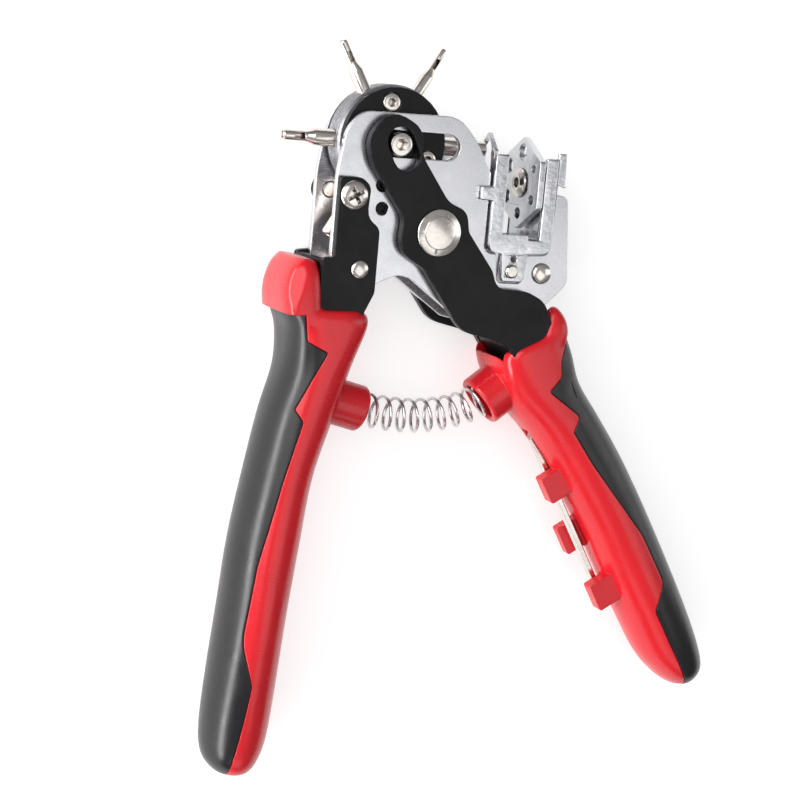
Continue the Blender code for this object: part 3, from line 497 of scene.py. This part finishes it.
def arm_screws():
    top = FLANGE_OUT + FIT
    profile = [
        (0, top + 1.2), (1.6, top + 1.16), (2.6, top + 1.0), (3.4, top + 0.75), (3.85, top + 0.4),
        (4.0, top + 0.15),
        (4.0, top), (2.0, top), (2.0, PLATE_IN), (0, PLATE_IN),
    ]
    for name, side in (("front", 1), ("back", -1)):
        spot = centre_of(f"{name}_arm_screw")
        place = upright(spot.x, spot.y, side)
        turned = place @ Matrix.Rotation(0.5, 4, "Z")
        screw = lathe(f"{name}_cross_screw", profile, place, 64)
        for reach, floor_at in ((2.5, top + 0.3), (1.6, top - 1.2)):
            boolean(screw, prism("recess", cross_points(reach, 0.55), floor_at, top + 3, turned))
        stand_for(screw, f"{name}_arm_screw", "frame", "nickel")


# Each rivet: its node, where its head starts, and the head's radius and height
RIVETS = (("arm_rivet", FLANGE_OUT + FIT, 2.5, 0.7), ("frame_rivet", PLATE_OUT + FIT, 3.0, 1.0))


def rivets():
    for node, top, head_r, dome in RIVETS:
        cap = [(head_r * sin(a), top + dome * cos(a)) for a in arc(0, 82, 7)] + [(head_r, top)]
        profile = cap + [(1.5, top), (1.5, -top)] + [(r, -z) for r, z in reversed(cap)]
        spot = centre_of(node)
        stand_for(lathe(f"domed_{node}", profile, upright(spot.x, spot.y), 56), node, "frame", "nickel")


def stop_pins():
    top = PLATE_OUT + 0.1
    profile = [
        (0, top - 0.9), (0.85, top - 0.9), (0.95, top - 0.12), (1.1, top), (1.35, top), (1.5, top - 0.18),
        (1.5, PLATE_IN), (0, PLATE_IN),
    ]
    for name, side in (("front", 1), ("back", -1)):
        for level in ("upper", "lower"):
            node = f"{name}_{level}_stop_pin"
            spot = centre_of(node)
            pin = lathe(f"round_{node}", profile, upright(spot.x, spot.y, side), 40)
            stand_for(pin, node, "frame", "black_steel")


def cheek_screws():
    top = CHEEK_TOP + 0.1
    inner = DRUM_HALF + FIT
    profile = [
        (0, top), (2.2, top), (2.4, top - 0.08), (2.5, top - 0.25), (2.5, inner), (1.0, inner),
        (1.0, -inner), (2.5, -inner), (2.5, 0.3 - top), (2.3, -top), (0, -top),
    ]
    for number in (1, 2, 3):
        node = f"cheek_screw_{number}"
        spot = centre_of(node)
        place = upright(spot.x, spot.y)
        screw = lathe(f"socket_screw_{number}", profile, place, 48)
        boolean(screw, prism("recess", ring_points(1.3, 6, 0.3), top - 1.9, top + 1, place))
        stand_for(screw, node, "turret", "nickel")


def slider_axle():
    top = ARM_OUT - 0.6
    profile = [
        (0, top), (2.7, top), (3.05, top - 0.1), (3.25, top - 0.35), (3.3, top - 0.6), (3.3, ARM_IN + 0.5),
        (AXLE_R, ARM_IN + 0.5), (AXLE_R, -ARM_IN), (AXLE_END_R, -ARM_IN), (AXLE_END_R, 0.3 - top),
        (AXLE_END_R - 0.3, -top), (0, -top),
    ]
    place = upright(*TURRET)
    axle = lathe("socket_axle", profile, place, 64)
    boolean(axle, prism("recess", ring_points(1.75, 6, 0.2), ARM_OUT - 3.6, ARM_OUT + 1, place))
    stand_for(axle, "slider_axle", "slider", "nickel")


def station(index):
    """Lays a piece turned about Z along a turret station's direction."""
    spin = Matrix.Rotation(2 * pi * index / STATIONS, 4, "Z") @ Matrix.Rotation(radians(90), 4, "Y")
    return Matrix.Translation((*TURRET, 0)) @ spin


def tube_body_r(index):
    return min(0.55 + PUNCH_SIZES[index] * 0.62, WIDEST_TUBE_R)


GROOVES = (2.5, 1.2, -0.1, -1.4, -2.7)


def turret():
    """The drum with fine grooves round its rim, and its hollow cutting tubes with their side windows."""
    rim = [(DRUM_R - 0.6, DRUM_HALF), (DRUM_R, DRUM_HALF - 0.6)]
    for z in GROOVES:
        rim += [(DRUM_R, z + 0.28), (DRUM_R - 0.4, z + 0.16), (DRUM_R - 0.4, z - 0.04), (DRUM_R, z - 0.16)]
    rim += [(DRUM_R, 0.6 - DRUM_HALF), (DRUM_R - 0.6, -DRUM_HALF)]
    drum = lathe("grooved_drum", [(0, DRUM_HALF), *rim, (0, -DRUM_HALF)], upright(*TURRET), 120)
    boolean(drum, prism("hub", ring_points(AXLE_R + 0.15, 48), -9, 9, upright(*TURRET)))
    for number in (1, 2, 3):
        spot = centre_of(f"cheek_screw_{number}")
        boolean(drum, prism("thread", ring_points(1.2, 20), -9, 9, upright(spot.x, spot.y)))
    for index, size in enumerate(PUNCH_SIZES):
        body, tip = tube_body_r(index), size / 2
        bore = tip * 0.72
        place = station(index)
        seat_outline = ring_points(body + 0.15, 40)
        boolean(drum, prism("seat", seat_outline, TUBE_SEAT_R - FIT, DRUM_R + 3, place))
        profile = [
            (0, TUBE_SEAT_R), (body - 0.2, TUBE_SEAT_R), (body, TUBE_SEAT_R + 0.2),
            (body, TUBE_CONE_R - 0.3), (body - 0.12, TUBE_CONE_R), (tip + 0.1, TUBE_NECK_R - 0.2),
            (tip, TUBE_NECK_R + 0.2), (tip, TUBE_TIP_R - 0.5), (bore + 0.08, TUBE_TIP_R),
            (bore, TUBE_TIP_R - 0.2), (bore, TUBE_CONE_R - 1.0), (0, TUBE_CONE_R - 1.0),
        ]
        tube = lathe(f"cutting_tube_{index + 1}", profile, place, 40)
        half = bore * 0.8
        window = [Vector(p) for p in ((-4, -half), (0, -half), (0, half), (-4, half))]
        boolean(tube, prism("window", window, TUBE_NECK_R + 0.6, TUBE_NECK_R + 3.6, place))
        stand_for(tube, "punch_tube_" + str(size).replace(".", "_"), "turret", "nickel")
    stand_for(drum, "turret_drum", "turret", "grey_steel")


pivot_studs()
arm_screws()
rivets()
stop_pins()
cheek_screws()
slider_axle()
turret()


# ---------- grips ----------

# Sections: the outer and inner point, the half height, and how square the section is (2 is an ellipse)
LEFT_GRIP = (
    ((-40.6, -22.6), (-18.6, -22.6), 12.4, 3.4),
    ((-41.0, -24.6), (-16.7, -24.6), 13.3, 3.4),
    ((-39.4, -30.0), (-16.6, -28.0), 13.3, 3.2),
    ((-39.8, -40.0), (-19.6, -38.5), 13.2, 2.4),
    ((-43.3, -52.8), (-24.0, -55.5), 13.0, 2.15),
    ((-46.3, -68.0), (-28.0, -71.0), 12.9, 2.0),
    ((-49.7, -89.0), (-30.3, -91.0), 13.0, 2.0),
    ((-51.4, -109.0), (-32.4, -110.0), 13.3, 2.0),
    ((-53.2, -128.0), (-33.8, -128.5), 12.8, 2.0),
    ((-54.2, -143.0), (-35.1, -144.0), 11.8, 2.0),
    ((-53.4, -151.2), (-36.8, -151.6), 10.2, 2.0),
    ((-50.4, -155.6), (-39.4, -156.0), 7.4, 2.0),
    ((-47.6, -156.8), (-42.8, -157.1), 4.0, 2.0),
)
LEFT_GUARD = (
    ((-41.2, -27.5), (-31.8, -27.5), 12.9, 4.5),
    ((-42.4, -23.5), (-31.8, -24.0), 12.9, 4.5),
    ((-42.8, -18.0), (-32.0, -18.5), 12.6, 4.5),
    ((-41.6, -12.4), (-32.6, -12.8), 11.8, 4.0),
    ((-39.4, -8.8), (-33.4, -9.5), 10.0, 3.0),
)
# Borders, as corners (x, y, radius): the overmould is the part of the grip inside them
LEFT_BORDER = (
    (-70, -25.0, 0), (-37.2, -24.2, 0), (-35.9, -31.5, 1), (-30.4, -34.2, 0.5), (-34.0, -41.5, 3),
    (-38.0, -50.2, 1), (-35.7, -53.4, 1), (-39.9, -69.5, 20), (-45.2, -93.7, 30), (-47.9, -116.0, 20),
    (-44.6, -128.2, 3), (-45.6, -136.0, 6), (-47.6, -150.0, 8), (-48.6, -170.0, 0), (-70, -170.0, 0),
)
RIGHT_GRIP = (
    ((44.6, -24.4), (24.9, -33.9), 12.9, 4.0),
    ((45.6, -27.4), (24.6, -36.6), 13.3, 3.6),
    ((48.6, -33.0), (26.4, -42.0), 13.3, 3.2),
    ((53.0, -41.6), (30.3, -49.1), 13.2, 2.4),
    ((61.0, -51.6), (40.2, -58.7), 13.0, 2.15),
    ((69.9, -63.1), (50.8, -72.3), 12.9, 2.0),
    ((79.6, -78.0), (61.3, -87.2), 13.0, 2.0),
    ((89.6, -94.6), (69.8, -101.7), 13.3, 2.0),
    ((98.5, -110.0), (78.5, -115.6), 13.0, 2.0),
    ((105.1, -122.6), (86.2, -127.4), 12.0, 2.0),
    ((107.9, -130.6), (92.2, -133.6), 10.2, 2.0),
    ((106.2, -135.0), (97.0, -136.9), 7.2, 2.0),
    ((103.8, -136.8), (99.4, -137.7), 4.0, 2.0),
)
RIGHT_COLLAR = (
    ((45.4, -28.6), (34.0, -33.6), 12.9, 3.8),
    ((45.2, -25.4), (34.8, -30.0), 12.9, 3.8),
    ((43.9, -22.2), (35.8, -26.0), 12.5, 3.6),
    ((41.6, -19.8), (36.9, -22.0), 11.6, 3.2),
    ((40.0, -19.2), (38.2, -20.0), 10.4, 3.0),
)
RIGHT_BORDER = (
    (90, -28.0, 0), (44.0, -27.6, 0), (42.2, -34.8, 2), (42.8, -39.6, 1), (39.4, -43.8, 0.5),
    (50.4, -51.0, 2), (48.8, -55.6, 1), (56.0, -64.8, 10), (76.0, -87.0, 20), (85.0, -101.4, 4),
    (83.6, -110.6, 4), (90.6, -121.6, 10), (100.6, -136.0, 8), (104.0, -150.0, 0), (130, -150.0, 0),
)
# The overmould's thickness, and the shadow line round it
SKIN, SHADOW_LINE = 2.4, 0.22


def curved(values, t):
    """Catmull-Rom interpolation of a list of vectors at t, a number of steps along it."""
    index = min(int(t), len(values) - 2)
    u = t - index
    a = values[max(index - 1, 0)]
    b, c = values[index], values[index + 1]
    d = values[min(index + 2, len(values) - 1)]
    slope, bend, twist = c - a, a * 2 - b * 5 + c * 4 - d, b * 3 - a - c * 3 + d
    return b + slope * 0.5 * u + bend * 0.5 * u * u + twist * 0.5 * u**3


def loft(name, sections, steps=5, around=72, shrink=0.0):
    """A smooth closed skin through rounded sections."""
    lines = [
        [Vector((*outer, half_z, 0)), Vector((*inner, square, 0))]
        for outer, inner, half_z, square in sections
    ]
    rings, verts, faces = [], [], []
    count = (len(sections) - 1) * steps
    for k in range(count + 1):
        outer, inner = (curved([line[side] for line in lines], k / steps) for side in (0, 1))
        half_z, square = outer.z - shrink, inner.z
        outer, inner = outer.xy, inner.xy
        inward = (inner - outer).normalized() * shrink
        outer, inner = outer + inward, inner - inward
        centre, half = (outer + inner) / 2, (outer - inner) / 2
        ring = []
        for j in range(around):
            a = 2 * pi * j / around
            across = abs(cos(a)) ** (2 / square) * (1 if cos(a) > 0 else -1)
            up = abs(sin(a)) ** (2 / square) * (1 if sin(a) > 0 else -1)
            at = centre + half * across
            ring.append(len(verts))
            verts.append((at.x, at.y, half_z * up))
        rings.append(ring)
    for first, second in zip(rings, rings[1:]):
        faces += [(first[j], first[j - 1], second[j - 1], second[j]) for j in range(around)]
    faces += [tuple(rings[0]), tuple(reversed(rings[-1]))]
    return mesh_object(name, to_world(verts), faces)


def aimed(at, aim):
    """Places a piece turned about Z so that it points along a direction in the tool's plane."""
    turn = Matrix.Rotation(aim, 4, "Z") @ Matrix.Rotation(radians(90), 4, "Y")
    return Matrix.Translation((*at, 0)) @ turn


# The spring's sockets: where their mouths lie and which way they open
LEFT_SOCKET, LEFT_AIM = (-13.8, -51.8), radians(-15)
RIGHT_SOCKET, RIGHT_AIM = (23.3, -49.4), radians(218)
SOCKET_DEPTH = 7.0
SPRING_R, SPRING_WIRE = 4.6, 0.5


def socket_boss(side, at, aim, length, radius):
    profile = [
        (0, 0), (radius - 0.9, 0), (radius - 0.35, -0.12), (radius, -0.7), (radius, -length), (0, -length),
    ]
    return lathe(f"{side}_boss", profile, aimed(at, aim), 64)


def socket_bore(side, at, aim):
    radius = SPRING_R + SPRING_WIRE + 0.5
    profile = [
        (0, 3), (radius + 1.0, 3), (radius + 0.6, 0.1), (radius, -0.6), (radius, -SOCKET_DEPTH),
        (0, -SOCKET_DEPTH),
    ]
    return lathe(f"{side}_bore", profile, aimed(at, aim), 64)


def grip(side, sections, border, outer, inner, cutters, body):
    """The grip's hard core and its soft overmould, which stand a hair apart along a shadow line."""
    line = rounded_outline(border, 8)
    core = loft(f"{side}_grip_shell", sections)
    for extra in outer:
        boolean(core, extra, "UNION")
    moulded(core, 12)
    boolean(core, prism("region", grown(line, SHADOW_LINE), -20, 20))
    boolean(core, loft("kernel", sections, shrink=SKIN + 0.1), "UNION")
    for extra in inner:
        boolean(core, extra, "UNION")
    for cutter in cutters:
        boolean(core, cutter)
    skin = moulded(loft(f"{side}_grip_skin", sections), 6)
    boolean(skin, prism("region", line, -20, 20), "INTERSECT")
    boolean(skin, loft("inside", sections, shrink=SKIN))
    resmooth(core, "red_plastic")
    resmooth(skin, "black_rubber")
    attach(core, body)
    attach(skin, body)
    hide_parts(f"{side}_grip_core")
    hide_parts(f"{side}_grip_overmould")
    return core, skin


# The hex key's bend and end, its radius across corners and the length of its short leg
KEY_TOP, KEY_END, KEY_R, KEY_LEG = Vector((40.8, -58.2)), Vector((70.2, -107.5)), 1.25, 7.0
KEY_TURN = atan2(KEY_END.y - KEY_TOP.y, KEY_END.x - KEY_TOP.x)


def beside_key(name, length, across, z, corner=0.6):
    """A block beside the hex key, with rounded corners in the tool's plane."""
    (x0, x1), (y0, y1) = length, across
    corners = [(x, y, corner) for x, y in ((x0, y0), (x1, y0), (x1, y1), (x0, y1))]
    outline = rounded_outline(corners, 4)
    place = Matrix.Translation((*KEY_TOP, 0)) @ Matrix.Rotation(KEY_TURN, 4, "Z")
    return prism(name, outline, z[0], z[1], place)


clip_low, clip_front, clip_back = KEY_R - 0.4, 5.8, 4.6
clips = [
    beside_key("clip_top", (12.8, 21.3), (-4.4, 9.0), (clip_low, clip_front)),
    beside_key("clip_middle", (32.8, 42.3), (-3.6, 10.0), (-clip_back, -clip_low)),
    beside_key("clip_end", (51.6, 60.5), (-4.0, 10.0), (clip_low, clip_front)),
]
gap = KEY_R + FIT
mouth = rounded_outline([(31.0, -43.0, 2), (43.0, -37.0, 2), (54.0, -16.0, 0), (16.0, -24.0, 0)], 4)
grip(
    "right", RIGHT_GRIP, RIGHT_BORDER, [loft("right_collar", RIGHT_COLLAR)],
    [socket_boss("right", RIGHT_SOCKET, RIGHT_AIM, 12, 7.6), *clips],
    [
        prism("right_mouth", mouth, -ARM_IN, ARM_IN),
        socket_bore("right", RIGHT_SOCKET, RIGHT_AIM),
        beside_key("key_groove", (-gap, 61.4), (-12.0, gap + 0.4), (-gap, gap), 0),
        beside_key("key_bend", (-gap - 0.2, 4.2), (-12.1, 4.2), (-gap - 0.1, gap + 0.1), 0),
        beside_key("key_pocket", (-gap - 0.1, gap + 0.1), (-12.2, KEY_LEG + FIT), (-gap - 0.2, gap + 0.2), 0),
    ],
    "lever",
)


def guard():
    """The thumb guard at the top of the left grip, with its outer corners trimmed by a slanting plane."""
    made = loft("left_guard", LEFT_GUARD)
    for side in (1, -1):
        outwards = Vector((-0.52, 0.22, 0.825 * side))
        facing = outwards.to_track_quat("Z", "Y").to_matrix().to_4x4()
        place = Matrix.Translation((-38.7, -17.0, 12.4 * side)) @ facing
        square = [Vector(p) for p in ((-30, -30), (30, -30), (30, 30), (-30, 30))]
        boolean(made, prism("facet", square, 0, 20, place))
    return made


grip(
    "left", LEFT_GRIP, LEFT_BORDER, [guard()],
    [socket_boss("left", LEFT_SOCKET, LEFT_AIM, 14, 6.6)],
    [socket_bore("left", LEFT_SOCKET, LEFT_AIM)],
    "frame",
)


# ---------- spring and key ----------

def tube_along(name, points, radius, sides, look):
    """A round wire along points, with closed ends."""
    verts, faces, rings = [], [], []
    up = Vector((0, 0, 1))
    for index, point in enumerate(points):
        after = points[min(index + 1, len(points) - 1)]
        before = points[max(index - 1, 0)]
        along = (after - before).normalized()
        side = along.cross(up)
        side = side.normalized() if side.length > 1e-4 else Vector((1, 0, 0))
        up = side.cross(along).normalized()
        rings.append(list(range(len(verts), len(verts) + sides)))
        turns = [2 * pi * k / sides for k in range(sides)]
        verts += [point + side * radius * cos(a) + up * radius * sin(a) for a in turns]
    for first, second in zip(rings, rings[1:]):
        for k in range(sides):
            after = (k + 1) % sides
            faces.append((first[k], first[after], second[after], second[k]))
    faces += [tuple(rings[0][::-1]), tuple(rings[-1])]
    return mesh_object(name, to_world(verts), faces, look=look)


def bezier(a, b, c, d, t):
    u = 1 - t
    return a * u**3 + b * 3 * u * u * t + c * 3 * u * t * t + d * t**3


SPRING_TURNS, PER_TURN, SPRING_BOW = 12, 28, 17
seat = SOCKET_DEPTH - SPRING_WIRE - FIT
left_dir = Vector((cos(LEFT_AIM), sin(LEFT_AIM)))
right_dir = Vector((cos(RIGHT_AIM), sin(RIGHT_AIM)))
spring_start = Vector(LEFT_SOCKET) - left_dir * seat
spring_end = Vector(RIGHT_SOCKET) - right_dir * seat
spring_line = (
    spring_start, spring_start + left_dir * SPRING_BOW, spring_end + right_dir * SPRING_BOW, spring_end,
)
coil = []
for k in range(SPRING_TURNS * PER_TURN + 1):
    t = k / (SPRING_TURNS * PER_TURN)
    here, ahead = (bezier(*spring_line, t + step) for step in (0, 1e-3))
    along = (ahead - here).normalized()
    side = Vector((-along.y, along.x))
    a = 2 * pi * k / PER_TURN
    at = here + side * SPRING_R * cos(a)
    coil.append(Vector((at.x, at.y, SPRING_R * sin(a))))
spring = tube_along("coil_spring", coil, SPRING_WIRE, 10, "spring_steel")
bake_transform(spring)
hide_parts("return_spring")

key_along = (KEY_END - KEY_TOP).normalized()
key_inward = Vector((-key_along.y, key_along.x))
bend_r = 2.4
bend_at = KEY_TOP + (key_along + key_inward) * bend_r
key_points = [KEY_TOP + key_inward * KEY_LEG]
key_points += [bend_at - key_along * bend_r * cos(a) - key_inward * bend_r * sin(a) for a in arc(0, 90, 10)]
key_points.append(KEY_END)
key = tube_along("hex_wrench", [Vector((p.x, p.y, 0)) for p in key_points], KEY_R, 6, "nickel")
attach(key, "hex_key")
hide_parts("hex_key")


# ---------- floor, light and camera ----------

FLOOR_REACH_M, FLOOR_DROP_M = 3.0, 0.0002


def floor():
    made = bpy.data.meshes.new("floor")
    corners = [(x * FLOOR_REACH_M, y * FLOOR_REACH_M, 0) for x, y in ((-1, -1), (1, -1), (1, 1), (-1, 1))]
    made.from_pydata(corners, [], [(0, 1, 2, 3)])
    obj = bpy.data.objects.new("floor", made)
    obj.location = (0, 0, -FLOOR_DROP_M)
    made_parts.objects.link(obj)
    look = bpy.data.materials.new("pale floor")
    look.use_nodes = True
    tree = look.node_tree
    shader = tree.nodes["Principled BSDF"]
    coords = add_node(tree, "TexCoord").outputs["Object"]
    base = mixed(tree, noise(tree, coords, 3, 3), (0.58, 0.58, 0.58, 1), (0.61, 0.61, 0.61, 1))
    tree.links.new(base, shader.inputs["Base Color"])
    shader.inputs["Roughness"].default_value = 0.8
    shader.inputs["Emission Color"].default_value = (1, 1, 1, 1)
    shader.inputs["Emission Strength"].default_value = 0.6
    made.materials.append(look)


def softbox(name, place, aim, size, power):
    """A white rectangular light at a place in metres; its size is its width and height in metres."""
    light = bpy.data.lights.new(name, "AREA")
    light.shape = "RECTANGLE"
    light.size, light.size_y = size
    light.energy = power
    obj = bpy.data.objects.new(name, light)
    obj.location = place
    obj.rotation_euler = (Vector(aim) - Vector(place)).to_track_quat("-Z", "Y").to_euler()
    made_parts.objects.link(obj)


def sky():
    world = bpy.data.worlds.new("studio")
    bpy.context.scene.world = world
    world.use_nodes = True
    tree = world.node_tree
    coords = add_node(tree, "TexCoord").outputs["Generated"]
    parted = add_node(tree, "SeparateXYZ", {0: coords}).outputs["Z"]
    ramp = add_node(tree, "ValToRGB", {0: spread(tree, parted, -0.1, 1.0, 0, 1)})
    stops = ramp.color_ramp.elements
    stops[0].position, stops[0].color = 0.0, (0.10, 0.10, 0.11, 1)
    stops[1].position, stops[1].color = 1.0, (0.86, 0.86, 0.88, 1)
    stops.new(0.4).color = (0.38, 0.38, 0.40, 1)
    stops.new(0.75).color = (0.70, 0.70, 0.72, 1)
    back = tree.nodes["Background"]
    tree.links.new(ramp.outputs["Color"], back.inputs["Color"])
    back.inputs["Strength"].default_value = 0.42


# A long lens, in mm on Blender's 36 mm sensor, and its distance from the top of the pivot
LENS, CAMERA_REACH = 85.5, 523.0
# How far right and down of the view's middle the pivot lies, as tangents
PIVOT_RIGHT, PIVOT_DOWN = 0.0203684, -0.0879474


def camera():
    """Looks down from the left with the tool turned a little in the picture."""
    yaw, lift, roll = radians(24.5), radians(9.5), radians(5.1)
    toward = Vector((-sin(yaw) * cos(lift), sin(lift), cos(yaw) * cos(lift)))
    right = Vector((cos(yaw), 0, sin(yaw)))
    up = toward.cross(right)
    across = PIVOT_RIGHT * cos(roll) + PIVOT_DOWN * sin(roll)
    down = -PIVOT_RIGHT * sin(roll) + PIVOT_DOWN * cos(roll)
    ray = -toward + right * across - up * down
    at = (Vector((0, 0, ARM_OUT)) - ray * CAMERA_REACH + PIVOT) * MM
    turned_right = right * cos(roll) + up * sin(roll)
    turned_up = up * cos(roll) - right * sin(roll)
    axes = Matrix((turned_right, turned_up, toward)).transposed()
    data = bpy.data.cameras.new("camera")
    data.lens = LENS
    data.clip_start = 0.01
    obj = bpy.data.objects.new("camera", data)
    obj.matrix_world = Matrix.Translation(at) @ axes.to_4x4()
    made_parts.objects.link(obj)
    bpy.context.scene.camera = obj


floor()
sky()
centre = (0, 0, 0.01)
softbox("key light", (-0.63, 0.27, 0.73), centre, (0.8, 0.8), 5.0)
softbox("strip light", (-0.95, -0.1, 0.24), centre, (1.6, 0.2), 14.0)
softbox("plate light", (0.26, -0.2, 0.98), centre, (0.6, 0.7), 1.3)
softbox("side light", (0.9, 0.1, 0.5), centre, (0.35, 0.9), 1.4)
softbox("low light", (-0.1, -0.95, 0.5), centre, (0.8, 0.3), 0.8)
camera()
bpy.context.scene.view_settings.view_transform = "Standard"
